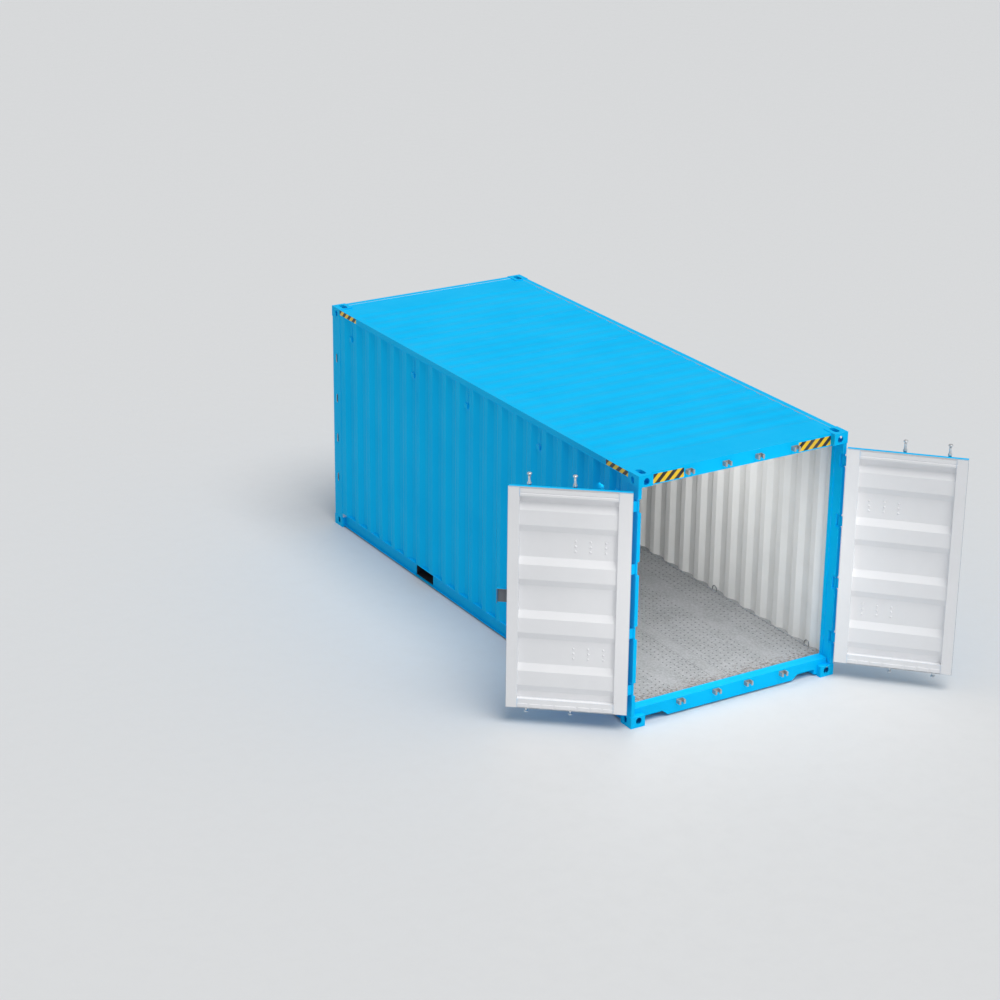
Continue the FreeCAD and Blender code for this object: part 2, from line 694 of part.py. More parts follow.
def leaf_gasket():
    """Seal around the leaf's edges, near its back face."""
    inset = LEAF_THICKNESS - GASKET_INSET - GASKET_BAND
    ring = leaf_block(
        inset, GASKET_BAND, CENTRE_GAP - GASKET_PROUD, LEAF_OUTER_Y + GASKET_PROUD,
        LEAF_BOTTOM - GASKET_PROUD, LEAF_TOP + GASKET_PROUD,
    )
    leaf = leaf_block(inset, GASKET_BAND, CENTRE_GAP, LEAF_OUTER_Y, LEAF_BOTTOM, LEAF_TOP)
    return [ring.cut(leaf)]


def hinge_blades():
    """Strap on the leaf's face that bends out to a knuckle on the post's pin."""
    height = HINGE_POCKET_HEIGHT - 2 * LUG_THICKNESS - 2 * KNUCKLE_GAP
    half = BLADE_THICKNESS / 2
    bend_s = LEAF_FACE - half
    length = math.hypot(bend_s - PIN_S, LEAF_EDGE - PIN_D)
    along_s, along_d = (bend_s - PIN_S) / length, (LEAF_EDGE - PIN_D) / length

    def edge_point(side, s):
        """Where one edge of the bent tongue meets a plane at s."""
        from_s = PIN_S + side * half * along_d
        from_d = PIN_D - side * half * along_s
        return s, from_d + (s - from_s) * along_d / along_s

    near = (PIN_S + half * along_d, PIN_D - half * along_s)
    far = (PIN_S - half * along_d, PIN_D + half * along_s)
    strap_end = LEAF_EDGE + BLADE_REACH
    outline = [
        near, edge_point(1, LEAF_FACE), (LEAF_FACE, strap_end),
        (LEAF_FACE - BLADE_THICKNESS, strap_end), edge_point(-1, LEAF_FACE - BLADE_THICKNESS), far,
    ]
    x, y = HALF_LENGTH - PIN_S, HALF_WIDTH - PIN_D
    blades = []
    for middle in HINGE_HEIGHTS:
        z0 = middle - height / 2
        strap = plan_prism(outline, z0, z0 + height)
        knuckle = cylinder(LUG_RADIUS, height, x, y, z0)
        heads = []
        for reach in (0.45, 0.8):
            for lift in (-0.3, 0.3):
                heads.append(cylinder(
                    BLADE_BOLT_RADIUS, BOLT_HEAD, HALF_LENGTH - LEAF_FACE + BLADE_THICKNESS,
                    LEAF_OUTER_Y - reach * BLADE_REACH, middle + lift * height, ALONG,
                ))
        bore = cylinder(PIN_RADIUS + PIN_CLEARANCE, height, x, y, z0)
        blades.append(fused([strap, knuckle] + heads).cut(bore))
    return blades


def bar_bracket(y, z, size, bolts, seat_s):
    """Plate on the leaf's face at seat_s, with a strap around the lock bar, centred at height z."""
    width, height, strap_height = size
    bore = BAR_RADIUS + BAR_CLEARANCE
    outside = bore + STRAP_THICKNESS
    x = HALF_LENGTH - BAR_S
    plate_s = seat_s - BRACKET_PLATE
    z0 = z - strap_height / 2
    plate = door_block(plate_s, seat_s, y - width / 2, y + width / 2, z - height / 2, z + height / 2)
    saddle = door_block(BAR_S, plate_s, y - outside, y + outside, z0, z0 + strap_height)
    pieces = [plate, saddle, cylinder(outside, strap_height, x, y, z0)]
    for across, lift in bolts:
        head_x = HALF_LENGTH - plate_s
        pieces.append(cylinder(BLADE_BOLT_RADIUS, BOLT_HEAD, head_x, y + across, z + lift, ALONG))
    channel = door_block(BAR_S, plate_s, y - bore, y + bore, z0, z0 + strap_height)
    return fused(pieces).cut([channel, cylinder(bore, strap_height, x, y, z0)])


def handle_catch(y):
    """Two jaws on a plate that hold the handle level, with the knob of the upper one."""
    gap_half = HANDLE_SECTION[0] / 2 + CATCH_CLEARANCE
    plate_width, plate_height = CATCH_PLATE
    plate_s = PANEL_FACE - BRACKET_PLATE
    jaw_s = BAR_S - HANDLE_SECTION[1] / 2 - CATCH_CLEARANCE
    knob_radius, knob_height = CATCH_KNOB
    jaw_half = CATCH_JAW_WIDTH / 2
    pieces = [door_block(
        plate_s, PANEL_FACE, y - plate_width / 2, y + plate_width / 2,
        HANDLE_HEIGHT - plate_height / 2, HANDLE_HEIGHT + plate_height / 2,
    )]
    for z0 in (HANDLE_HEIGHT + gap_half, HANDLE_HEIGHT - gap_half - CATCH_JAW):
        pieces.append(door_block(jaw_s, plate_s, y - jaw_half, y + jaw_half, z0, z0 + CATCH_JAW))
    knob_z = HANDLE_HEIGHT + gap_half + CATCH_JAW
    pieces.append(cylinder(knob_radius, knob_height, HALF_LENGTH - BAR_S, y, knob_z))
    return fused(pieces)


def bar_hardware():
    end_half = END_BRACKET[1] / 2
    low = LEAF_BOTTOM + BRACKET_INSET + end_half
    high = LEAF_TOP - BRACKET_INSET - end_half
    pieces = []
    for y in BAR_PLACES:
        pieces += [bar_bracket(y, z, END_BRACKET, END_BOLTS, LEAF_FACE) for z in (low, high)]
        mid_z = HANDLE_HEIGHT - MID_BRACKET_DROP
        pieces.append(bar_bracket(y, mid_z, MID_BRACKET, MID_BOLTS, PANEL_FACE))
        pieces.append(handle_catch(y + CATCH_FROM_BAR))
    return pieces


def lock_box():
    """Guard over the middle of the doorway, carried by the left leaf and open below."""
    z0, z1 = HANDLE_HEIGHT - BOX_HEIGHT / 2, HANDLE_HEIGHT + BOX_HEIGHT / 2
    outer = door_block(BOX_FACE, LEAF_FACE, -BOX_LEFT, BOX_RIGHT, z0, z1)
    plate = BOX_PLATE
    hollow = door_block(
        BOX_FACE + plate, LEAF_FACE, plate - BOX_LEFT, BOX_RIGHT - plate, z0, z1 - plate,
    )
    other_leaf = door_block(LEAF_FACE - BOX_LEAF_GAP, LEAF_FACE, -CENTRE_GAP, BOX_RIGHT, z0, z1)
    box = mirrored(outer.cut([hollow, other_leaf]))
    return [on_leaf(box, -1)]


# Lock bars and handles, made with the cams turned to let go and the handles hanging

def lock_bar(y):
    x = HALF_LENGTH - BAR_S
    z0, z1 = LEAF_BOTTOM - BAR_END_REACH, LEAF_TOP + BAR_END_REACH
    neck_z0 = SILL_CAM_Z - CAM_HEIGHT / 2 - NECK_NUB
    neck_z1 = HEADER_CAM_Z + CAM_HEIGHT / 2 + NECK_NUB
    pieces = [cylinder(BAR_RADIUS, z1 - z0, x, y, z0)]
    pieces.append(cylinder(NECK_RADIUS, neck_z1 - neck_z0, x, y, neck_z0))
    for z in (z0 - COLLAR_HEIGHT, z1):
        pieces.append(cylinder(COLLAR_RADIUS, COLLAR_HEIGHT, x, y, z))
    foot = FreeCAD.Vector(x, y, z1 + COLLAR_HEIGHT)
    pieces.append(Part.makeCone(CONE_RADIUS, NECK_RADIUS, CONE_HEIGHT, foot))
    cam = obround(CAM_WIDTH, CAM_LENGTH, CAM_HEIGHT)
    for z in (SILL_CAM_Z, HEADER_CAM_Z):
        pieces.append(placed(cam, x, y, z - CAM_HEIGHT / 2))
    pieces.append(cylinder(HUB_RADIUS, HUB_HEIGHT, x, y, HANDLE_HEIGHT - HUB_HEIGHT / 2))
    pivot_x = x + PIVOT_REACH
    ear_inner = EYE_WIDTH / 2 + EYE_SIDE_GAP
    for ear_y in (y + ear_inner, y - ear_inner - EAR_THICKNESS):
        pieces.append(block(
            x, pivot_x, ear_y, ear_y + EAR_THICKNESS,
            HANDLE_HEIGHT - EYE_RADIUS, HANDLE_HEIGHT + EYE_RADIUS,
        ))
        pieces.append(cylinder(EYE_RADIUS, EAR_THICKNESS, pivot_x, ear_y, HANDLE_HEIGHT, ACROSS))
    pin_half = ear_inner + EAR_THICKNESS
    pieces.append(cylinder(PIVOT_RADIUS, 2 * pin_half, pivot_x, y - pin_half, HANDLE_HEIGHT, ACROSS))
    return [fused(pieces)]


def handle(y):
    x = HALF_LENGTH - BAR_S + PIVOT_REACH
    radial, wide = HANDLE_SECTION
    shank = block(
        x - radial / 2, x + radial / 2, y - wide / 2, y + wide / 2,
        HANDLE_HEIGHT - HANDLE_LENGTH + GRIP_LENGTH / 2, HANDLE_HEIGHT,
    )
    bottom = HANDLE_HEIGHT - HANDLE_LENGTH
    grip_radial, grip_wide = GRIP_SECTION
    grip = block(
        x - grip_radial / 2, x + grip_radial / 2, y - grip_wide / 2, y + grip_wide / 2,
        bottom, bottom + GRIP_LENGTH,
    )
    grip = grip.makeFillet(HANDLE_ROUNDING, grip.Edges)
    eye = cylinder(EYE_RADIUS, EYE_WIDTH, x, y - EYE_WIDTH / 2, HANDLE_HEIGHT, ACROSS)
    bore = cylinder(
        PIVOT_RADIUS + PIN_CLEARANCE, EYE_WIDTH, x, y - EYE_WIDTH / 2, HANDLE_HEIGHT, ACROSS,
    )
    return [fused([shank, eye, grip]).cut(bore)]


BODY_NODES = {
    "bottom_corner_castings": bottom_corner_castings,
    "top_corner_castings": top_corner_castings,
    "rear_post_left": lambda: mirrored(rear_post()),
    "rear_post_right": rear_post,
    "front_posts": front_posts,
    "door_header": door_header,
    "door_sill": door_sill,
    "front_header": front_header,
    "front_sill": front_sill,
    "front_wall": front_wall,
    "side_wall_left": lambda: mirrored(side_wall()),
    "side_wall_right": side_wall,
    "bottom_side_rails": bottom_side_rails,
    "top_side_rails": top_side_rails,
    "roof_panel": roof_panel,
    "cross_members": cross_members,
    "fork_pockets": fork_pockets,
    "floor_panels": floor_panels,
    "floor_centre_strip": floor_centre_strip,
    "post_hinge_lugs_left": lambda: [mirrored(lug) for lug in post_hinge_lugs()],
    "post_hinge_lugs_right": post_hinge_lugs,
    "cam_keepers": cam_keepers,
    "wall_vents": wall_vents,
    "lashing_rings": lashing_rings,
    "lock_box": lock_box,
}

LEAF_NODES = {
    "leaf_stiles": leaf_stiles,
    "leaf_rails": leaf_rails,
    "leaf_panel": leaf_panel,
    "leaf_gasket": leaf_gasket,
    "hinge_blades": hinge_blades,
    "bar_hardware": bar_hardware,
}


def write_node(name, shapes):
    solids = shapes if isinstance(shapes, list) else [shapes]
    whole = solids[0] if len(solids) == 1 else Part.makeCompound(solids)
    whole.exportStep(f"parts/{name}.step")
    print(name, len(whole.Solids), "solids", "valid" if whole.isValid() else "NOT VALID")


os.makedirs("parts", exist_ok=True)
for node, make in BODY_NODES.items():
    write_node(node, make())
for side_name, side in (("left", -1), ("right", 1)):
    for node, make in LEAF_NODES.items():
        write_node(f"{node}_{side_name}", [on_leaf(piece, side) for piece in make()])
    for place, bar_y in zip(("inner", "outer"), BAR_PLACES):
        bar = [on_leaf(piece, side) for piece in lock_bar(bar_y)]
        write_node(f"lock_bar_{side_name}_{place}", bar)
        write_node(f"handle_{side_name}_{place}", [on_leaf(piece, side) for piece in handle(bar_y)])
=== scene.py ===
import json
import math
import random

import bmesh
import bpy
from mathutils import Matrix, Vector


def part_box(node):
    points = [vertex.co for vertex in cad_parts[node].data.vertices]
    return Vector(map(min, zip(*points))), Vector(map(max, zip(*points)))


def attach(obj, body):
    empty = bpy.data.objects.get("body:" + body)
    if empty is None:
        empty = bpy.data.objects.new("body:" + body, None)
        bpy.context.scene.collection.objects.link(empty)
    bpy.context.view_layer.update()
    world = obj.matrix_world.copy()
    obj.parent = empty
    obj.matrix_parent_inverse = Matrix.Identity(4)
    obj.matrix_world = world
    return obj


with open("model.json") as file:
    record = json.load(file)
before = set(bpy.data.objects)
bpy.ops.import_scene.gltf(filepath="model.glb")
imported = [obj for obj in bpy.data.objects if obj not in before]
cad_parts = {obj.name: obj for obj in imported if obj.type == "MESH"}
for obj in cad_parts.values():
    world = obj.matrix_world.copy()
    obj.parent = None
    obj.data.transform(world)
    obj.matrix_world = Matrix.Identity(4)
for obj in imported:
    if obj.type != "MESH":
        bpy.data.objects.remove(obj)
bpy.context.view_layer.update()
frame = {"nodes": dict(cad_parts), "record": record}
random.seed(11)
print("frame loaded:", len(frame["nodes"]), "nodes")

# Colours are linear. The blue is the one a user would change first.
palette = {
    "blue": (0.0, 0.53, 0.97),
    "blueDeep": (0.0, 0.46, 0.90),
    "blueChalk": (0.0, 0.58, 0.98),
    "lining": (0.85, 0.85, 0.84),
    "liningScuff": (0.50, 0.48, 0.44),
    "leafWhite": (0.89, 0.895, 0.915),
    "leafScuff": (0.55, 0.56, 0.58),
    "scratch": (0.40, 0.62, 0.72),
    "primer": (0.16, 0.15, 0.145),
    "floorGrey": (0.26, 0.27, 0.275),
    "floorWorn": (0.50, 0.51, 0.53),
    "floorDot": (0.05, 0.055, 0.06),
    "grit": (0.20, 0.16, 0.135),
    "zinc": (0.86, 0.87, 0.88),
    "ringSteel": (0.46, 0.47, 0.48),
    "zincDull": (0.36, 0.37, 0.38),
    "bareEdge": (0.8, 0.8, 0.8),
    "zincWorn": (0.46, 0.47, 0.48),
    "barSteel": (0.26, 0.265, 0.275),
    "boxSteel": (0.20, 0.21, 0.22),
    "seal": (0.56, 0.57, 0.58),
    "tar": (0.028, 0.028, 0.03),
    "yellow": (0.95, 0.60, 0.01),
    "black": (0.015, 0.015, 0.016),
    "studio": (0.74, 0.75, 0.76),
}


# Shader node groups, each used by several finishes

def newGroup(name, inputs, outputs):
    tree = bpy.data.node_groups.new(name, "ShaderNodeTree")
    for label, default in inputs:
        socket = tree.interface.new_socket(label, in_out="INPUT", socket_type="NodeSocketFloat")
        socket.default_value = default
    for label in outputs:
        tree.interface.new_socket(label, in_out="OUTPUT", socket_type="NodeSocketFloat")
    return tree, tree.nodes.new("NodeGroupInput"), tree.nodes.new("NodeGroupOutput")


# Adds a node; settings are its properties, links fill its inputs by name or number
def addNode(tree, kind, links=None, **settings):
    node = tree.nodes.new(kind)
    for key, value in settings.items():
        setattr(node, key, value)
    for key, value in (links or {}).items():
        if isinstance(value, bpy.types.NodeSocket):
            tree.links.new(value, node.inputs[key])
        else:
            node.inputs[key].default_value = value
    return node


def mathNode(tree, operation, a, b=0.0, clamp=False):
    return addNode(tree, "ShaderNodeMath", {0: a, 1: b}, operation=operation, use_clamp=clamp).outputs[0]


# Object coordinates stretched by a fixed scale, so a piece keeps its pattern as it moves
def stretched(tree, scale):
    place = addNode(tree, "ShaderNodeTexCoord").outputs["Object"]
    return addNode(tree, "ShaderNodeMapping", {"Vector": place, "Scale": scale}).outputs[0]


# A noise texture; grain is its detail and roughness
def addNoise(tree, vector, scale, grain):
    links = {"Vector": vector, "Scale": scale, "Detail": grain[0]}
    if len(grain) > 1:
        links["Roughness"] = grain[1]
    return addNode(tree, "ShaderNodeTexNoise", links).outputs["Fac"]


# Spreads the values between two limits over 0 to 1, or over 0 to top
def spreadMask(tree, value, low, high, top=1.0):
    return addNode(tree, "ShaderNodeMapRange", {"Value": value, 1: low, 2: high, 4: top}).outputs[0]


weatherValues = {
    "blotchScale": 1.6, "blotchGrain": (5.0, 0.62), "blotchLimits": (0.42, 0.72),
    "streakScale": 7.0, "streakGrain": (4.0, 0.55), "streakLimits": (0.52, 0.78),
    "streakStretch": (1, 1, 0.06),
    "peelScale": 160.0, "peelGrain": (2.0,),
}


# Soft blotches, rain streaks and fine orange peel
def makeWeatherGroup():
    v = weatherValues
    tree, entry, leave = newGroup(
        "weather", [("Blotch Scale", v["blotchScale"]), ("Streak Scale", v["streakScale"])],
        ["Blotch", "Streak", "Peel"],
    )
    plain = stretched(tree, (1, 1, 1))
    blotch = addNoise(tree, plain, entry.outputs["Blotch Scale"], v["blotchGrain"])
    tall = stretched(tree, v["streakStretch"])
    streak = addNoise(tree, tall, entry.outputs["Streak Scale"], v["streakGrain"])
    tree.links.new(spreadMask(tree, blotch, *v["blotchLimits"]), leave.inputs["Blotch"])
    tree.links.new(spreadMask(tree, streak, *v["streakLimits"]), leave.inputs["Streak"])
    tree.links.new(addNoise(tree, plain, v["peelScale"], v["peelGrain"]), leave.inputs["Peel"])
    return tree


edgeValues = {"width": 0.004, "break": 9.0, "breakGrain": (6.0, 0.7), "breakLimits": (0.50, 0.66),
              "turnLimits": (0.02, 0.12), "samples": 4}


# Mask along sharp edges, broken up by noise
def makeEdgeGroup():
    v = edgeValues
    tree, entry, leave = newGroup("edgeWear", [("Width", v["width"]), ("Break", v["break"])], ["Edge"])
    rounded = addNode(tree, "ShaderNodeBevel", {"Radius": entry.outputs["Width"]}, samples=v["samples"])
    flat = addNode(tree, "ShaderNodeNewGeometry").outputs["Normal"]
    cosine = addNode(
        tree, "ShaderNodeVectorMath", {0: rounded.outputs[0], 1: flat}, operation="DOT_PRODUCT",
    ).outputs["Value"]
    turned = mathNode(tree, "SUBTRACT", 1.0, cosine)
    noise = addNoise(tree, stretched(tree, (1, 1, 1)), entry.outputs["Break"], v["breakGrain"])
    gap = spreadMask(tree, noise, *v["breakLimits"])
    edge = spreadMask(tree, turned, *v["turnLimits"])
    tree.links.new(mathNode(tree, "MULTIPLY", edge, gap, True), leave.inputs["Edge"])
    return tree


chipValues = {"scale": 5.0, "rarity": 0.70, "grain": (9.0, 0.74), "fade": 0.02}


# Small chips and scratches, scattered
def makeChipGroup():
    v = chipValues
    tree, entry, leave = newGroup("chips", [("Scale", v["scale"]), ("Rarity", v["rarity"])], ["Chip"])
    noise = addNoise(tree, stretched(tree, (1, 1, 1)), entry.outputs["Scale"], v["grain"])
    high = mathNode(tree, "ADD", entry.outputs["Rarity"], v["fade"])
    tree.links.new(spreadMask(tree, noise, entry.outputs["Rarity"], high), leave.inputs["Chip"])
    return tree


weatherGroup = makeWeatherGroup()
edgeGroup = makeEdgeGroup()
chipGroup = makeChipGroup()


def useGroup(tree, group, **values):
    node = addNode(tree, "ShaderNodeGroup", node_tree=group)
    for label, value in values.items():
        node.inputs[label].default_value = value
    return node


def mixColour(tree, mask, first, second):
    node = addNode(tree, "ShaderNodeMix", data_type="RGBA")
    for socket, value in ((node.inputs[0], mask), (node.inputs[6], first), (node.inputs[7], second)):
        if isinstance(value, bpy.types.NodeSocket):
            tree.links.new(value, socket)
        elif isinstance(value, tuple):
            socket.default_value = (*value, 1.0)
        else:
            socket.default_value = value
    return node.outputs[2]


def newMaterial(name):
    material = bpy.data.materials.new(name)
    material.use_nodes = True
    return material, material.node_tree, material.node_tree.nodes["Principled BSDF"]


def addBump(tree, shader, height, strength, distance):
    bump = addNode(tree, "ShaderNodeBump", {"Height": height, "Strength": strength, "Distance": distance})
    tree.links.new(bump.outputs[0], shader.inputs["Normal"])


def roughnessFrom(tree, shader, mask, low, high):
    spread = addNode(tree, "ShaderNodeMapRange", {"Value": mask, 3: low, 4: high})
    tree.links.new(spread.outputs[0], shader.inputs["Roughness"])


# Finishes: strength and depth in metres of each kind's bump

bumpValues = {"paint": (0.18, 0.0012), "metal": (0.2, 0.0006), "plain": (0.15, 0.0008), "deck": 0.7}

paintValues = {
    "containerBlue": {
        "base": "blue", "deep": "blueDeep", "chalk": "blueChalk", "rough": (0.46, 0.60), "gloss": 0.06,
        "blotch": 0.40, "streak": 0.30, "edge": 0.45, "chip": 0.76, "wear": "scratch",
    },
    "lining": {
        "base": "lining", "deep": "liningScuff", "chalk": "leafWhite", "rough": (0.48, 0.64), "gloss": 0.4,
        "blotch": 0.14, "streak": 0.22, "edge": 0.25, "chip": 0.74, "wear": "liningScuff",
    },
    "leafInside": {
        "base": "leafWhite", "deep": "leafScuff", "chalk": "leafWhite", "rough": (0.42, 0.58), "gloss": 0.4,
        "blotch": 0.10, "streak": 0.14, "edge": 0.15, "chip": 0.74, "wear": "leafScuff",
    },
}


def makePaint(name):
    v = paintValues[name]
    material, tree, shader = newMaterial(name)
    weather = useGroup(tree, weatherGroup)
    edge = useGroup(tree, edgeGroup)
    chips = useGroup(tree, chipGroup, Rarity=v["chip"])
    tone = mathNode(tree, "MULTIPLY", weather.outputs["Blotch"], v["blotch"])
    colour = mixColour(tree, tone, palette[v["base"]], palette[v["deep"]])
    streak = mathNode(tree, "MULTIPLY", weather.outputs["Streak"], v["streak"])
    colour = mixColour(tree, streak, colour, palette[v["chalk"]])
    worn = mathNode(tree, "MULTIPLY", edge.outputs["Edge"], v["edge"])
    worn = mathNode(tree, "MAXIMUM", worn, chips.outputs["Chip"], True)
    colour = mixColour(tree, worn, colour, palette[v["wear"]])
    tree.links.new(colour, shader.inputs["Base Color"])
    roughnessFrom(tree, shader, weather.outputs["Blotch"], *v["rough"])
    lowered = mathNode(tree, "SUBTRACT", weather.outputs["Peel"], worn)
    addBump(tree, shader, lowered, *bumpValues["paint"])
    shader.inputs["Specular IOR Level"].default_value = v["gloss"]
    return material


metalValues = {
    "dullZinc": {
        "base": "zincWorn", "dull": "primer", "rough": (0.34, 0.55),
        "grain": 240.0, "stain": 0.4, "metal": 0.45,
    },
    "ringZinc": {
        "base": "ringSteel", "dull": "primer", "rough": (0.18, 0.32),
        "grain": 240.0, "stain": 0.3, "metal": 0.9,
    },
    "zinc": {
        "base": "zinc", "dull": "zincDull", "rough": (0.30, 0.48),
        "grain": 240.0, "stain": 0.45, "metal": 0.75,
    },
    "barSteel": {
        "base": "barSteel", "dull": "zincDull", "rough": (0.34, 0.52),
        "grain": 200.0, "stain": 0.5, "metal": 0.9,
    },
    "boxSteel": {
        "base": "boxSteel", "dull": "primer", "rough": (0.45, 0.65),
        "grain": 120.0, "stain": 0.5, "metal": 0.6,
    },
}
metalDetail = {"blotchScale": 12.0, "streakScale": 30.0, "edgeWidth": 0.002, "edge": 0.5,
               "grainStretch": (1, 1, 0.2), "grainDetail": (3.0,)}


def makeMetal(name):
    v, detail = metalValues[name], metalDetail
    material, tree, shader = newMaterial(name)
    shader.inputs["Metallic"].default_value = v["metal"]
    weather = useGroup(tree, weatherGroup, **{
        "Blotch Scale": detail["blotchScale"], "Streak Scale": detail["streakScale"],
    })
    edge = useGroup(tree, edgeGroup, Width=detail["edgeWidth"])
    dull = mathNode(tree, "MULTIPLY", weather.outputs["Blotch"], v["stain"])
    colour = mixColour(tree, dull, palette[v["base"]], palette[v["dull"]])
    bare = mathNode(tree, "MULTIPLY", edge.outputs["Edge"], detail["edge"])
    colour = mixColour(tree, bare, colour, palette["bareEdge"])
    tree.links.new(colour, shader.inputs["Base Color"])
    roughnessFrom(tree, shader, weather.outputs["Streak"], *v["rough"])
    grain = addNoise(tree, stretched(tree, detail["grainStretch"]), v["grain"], detail["grainDetail"])
    addBump(tree, shader, grain, *bumpValues["metal"])
    return material


floorValues = {
    "dotPitch": 0.070, "dotRadius": 0.0085, "dotDepth": 0.003, "dotFade": (1.3, 0.6), "dotDark": 0.85,
    "tracks": (-0.47, 0.73), "trackHalf": 0.10, "trackFade": (0.8, 1.2),
    "laneStretch": (0.45, 1, 1), "laneScale": 5.0, "laneGrain": (7.0, 0.68),
    "laneLimits": (0.34, 0.60), "lane": 0.45,
    "speckScale": 40.0, "speckGrain": (6.0, 0.85), "speckLimits": (0.42, 0.60),
    "speck": 0.85, "speckHeight": 0.25,
    "blotchScale": 2.4, "streakScale": 5.0, "blotch": 0.30,
    "gritReach": 0.30, "gritScale": 24.0, "gritGrain": (10.0, 0.8), "gritNear": 0.16,
    "gritLimits": (0.60, 0.70, 0.8), "rough": (0.50, 0.85),
}


# Mask that is 0 on the two smooth tracks along the deck and 1 beside them
def offTracks(tree, across):
    v = floorValues
    inner, outer = (v["trackHalf"] * part for part in v["trackFade"])
    mask = None
    for middle in v["tracks"]:
        away = mathNode(tree, "ABSOLUTE", mathNode(tree, "SUBTRACT", across, middle))
        apart = spreadMask(tree, away, inner, outer)
        mask = apart if mask is None else mathNode(tree, "MULTIPLY", mask, apart)
    return mask


# Mask of small round dimples, every other row shifted by half a pitch
def dimples(tree, along, across):
    v = floorValues
    u = mathNode(tree, "MULTIPLY", along, 1.0 / v["dotPitch"])
    w = mathNode(tree, "MULTIPLY", across, 1.0 / v["dotPitch"])
    odd = mathNode(tree, "PINGPONG", mathNode(tree, "FLOOR", w), 1.0)
    u = mathNode(tree, "ADD", u, mathNode(tree, "MULTIPLY", odd, 0.5))
    squares = []
    for value in (u, w):
        fromMiddle = mathNode(tree, "SUBTRACT", mathNode(tree, "FRACT", value), 0.5)
        squares.append(mathNode(tree, "POWER", fromMiddle, 2.0))
    reach = (v["dotRadius"] / v["dotPitch"]) ** 2
    outer, inner = (reach * part for part in v["dotFade"])
    return spreadMask(tree, mathNode(tree, "ADD", *squares), outer, inner)


# Grey deck with staggered rows of small dark dimples, smooth fork tracks and grit at the doorway
def makeDeck(name, dimpled):
    v = floorValues
    material, tree, shader = newMaterial(name)
    place = addNode(tree, "ShaderNodeTexCoord").outputs["Object"]
    split = addNode(tree, "ShaderNodeSeparateXYZ", {0: place})
    along, across = split.outputs[0], split.outputs[1]
    weather = useGroup(tree, weatherGroup, **{
        "Blotch Scale": v["blotchScale"], "Streak Scale": v["streakScale"],
    })
    lane = addNoise(tree, stretched(tree, v["laneStretch"]), v["laneScale"], v["laneGrain"])
    laneMask = mathNode(tree, "MULTIPLY", spreadMask(tree, lane, *v["laneLimits"]), v["lane"])
    colour = mixColour(tree, laneMask, palette["floorGrey"], palette["floorWorn"])
    speck = addNoise(tree, place, v["speckScale"], v["speckGrain"])
    speckMask = mathNode(tree, "MULTIPLY", spreadMask(tree, speck, *v["speckLimits"]), v["speck"])
    colour = mixColour(tree, speckMask, colour, palette["floorWorn"])
    blotchMask = mathNode(tree, "MULTIPLY", weather.outputs["Blotch"], v["blotch"])
    colour = mixColour(tree, blotchMask, colour, palette["floorGrey"])
    height = mathNode(tree, "MULTIPLY", speck, v["speckHeight"])
    if dimpled:
        track = offTracks(tree, across)
        dot = mathNode(tree, "MULTIPLY", dimples(tree, along, across), track, True)
        colour = mixColour(tree, mathNode(tree, "MULTIPLY", dot, v["dotDark"]), colour, palette["floorDot"])
        height = mathNode(tree, "SUBTRACT", mathNode(tree, "MULTIPLY", height, track), dot)
    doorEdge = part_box("floor_panels")[1][0]
    near = spreadMask(tree, along, doorEdge - v["gritReach"], doorEdge)
    gritNoise = addNoise(tree, place, v["gritScale"], v["gritGrain"])
    grit = mathNode(tree, "ADD", gritNoise, mathNode(tree, "MULTIPLY", near, v["gritNear"]))
    gritMask = spreadMask(tree, grit, *v["gritLimits"])
    colour = mixColour(tree, gritMask, colour, palette["grit"])
    tree.links.new(colour, shader.inputs["Base Color"])
    roughnessFrom(tree, shader, gritMask, *v["rough"])
    addBump(tree, shader, height, bumpValues["deck"], v["dotDepth"])
    return material


plainValues = {
    "sealRubber": {"base": "seal", "dull": "zincDull", "rough": (0.55, 0.75), "amount": 0.3},
    "underTar": {"base": "tar", "dull": "primer", "rough": (0.60, 0.85), "amount": 0.5},
    "tapeYellow": {"base": "yellow", "dull": "grit", "rough": (0.35, 0.55), "amount": 0.18},
    "tapeBlack": {"base": "black", "dull": "zincDull", "rough": (0.35, 0.55), "amount": 0.18},
    "studioFloor": {"base": "studio", "dull": "seal", "rough": (0.55, 0.70), "amount": 0.08},
}
plainBlotchScale = 4.0


def makePlain(name):
    v = plainValues[name]
    material, tree, shader = newMaterial(name)
    weather = useGroup(tree, weatherGroup, **{"Blotch Scale": plainBlotchScale})
    tone = mathNode(tree, "MULTIPLY", weather.outputs["Blotch"], v["amount"])
    colour = mixColour(tree, tone, palette[v["base"]], palette[v["dull"]])
    tree.links.new(colour, shader.inputs["Base Color"])
    roughnessFrom(tree, shader, weather.outputs["Blotch"], *v["rough"])
    addBump(tree, shader, weather.outputs["Peel"], *bumpValues["plain"])
    return material


finish = {name: makePaint(name) for name in paintValues}
finish.update({name: makeMetal(name) for name in metalValues})
finish.update({name: makePlain(name) for name in plainValues})
finish["dimpledDeck"] = makeDeck("dimpledDeck", True)
finish["smoothDeck"] = makeDeck("smoothDeck", False)
print("finishes made:", len(finish))


# CAD nodes keep their shape and get their finish, face by face where two colours meet

# Gives a CAD node its finishes; pick says, from a face's normal and middle, which one it takes
def coat(node, finishes, pick=None):
    mesh = frame["nodes"][node].data
    mesh.materials.clear()
    for name in finishes:
        mesh.materials.append(finish[name])
    for polygon in mesh.polygons:
        polygon.material_index = pick(polygon.normal, polygon.center) if pick else 0


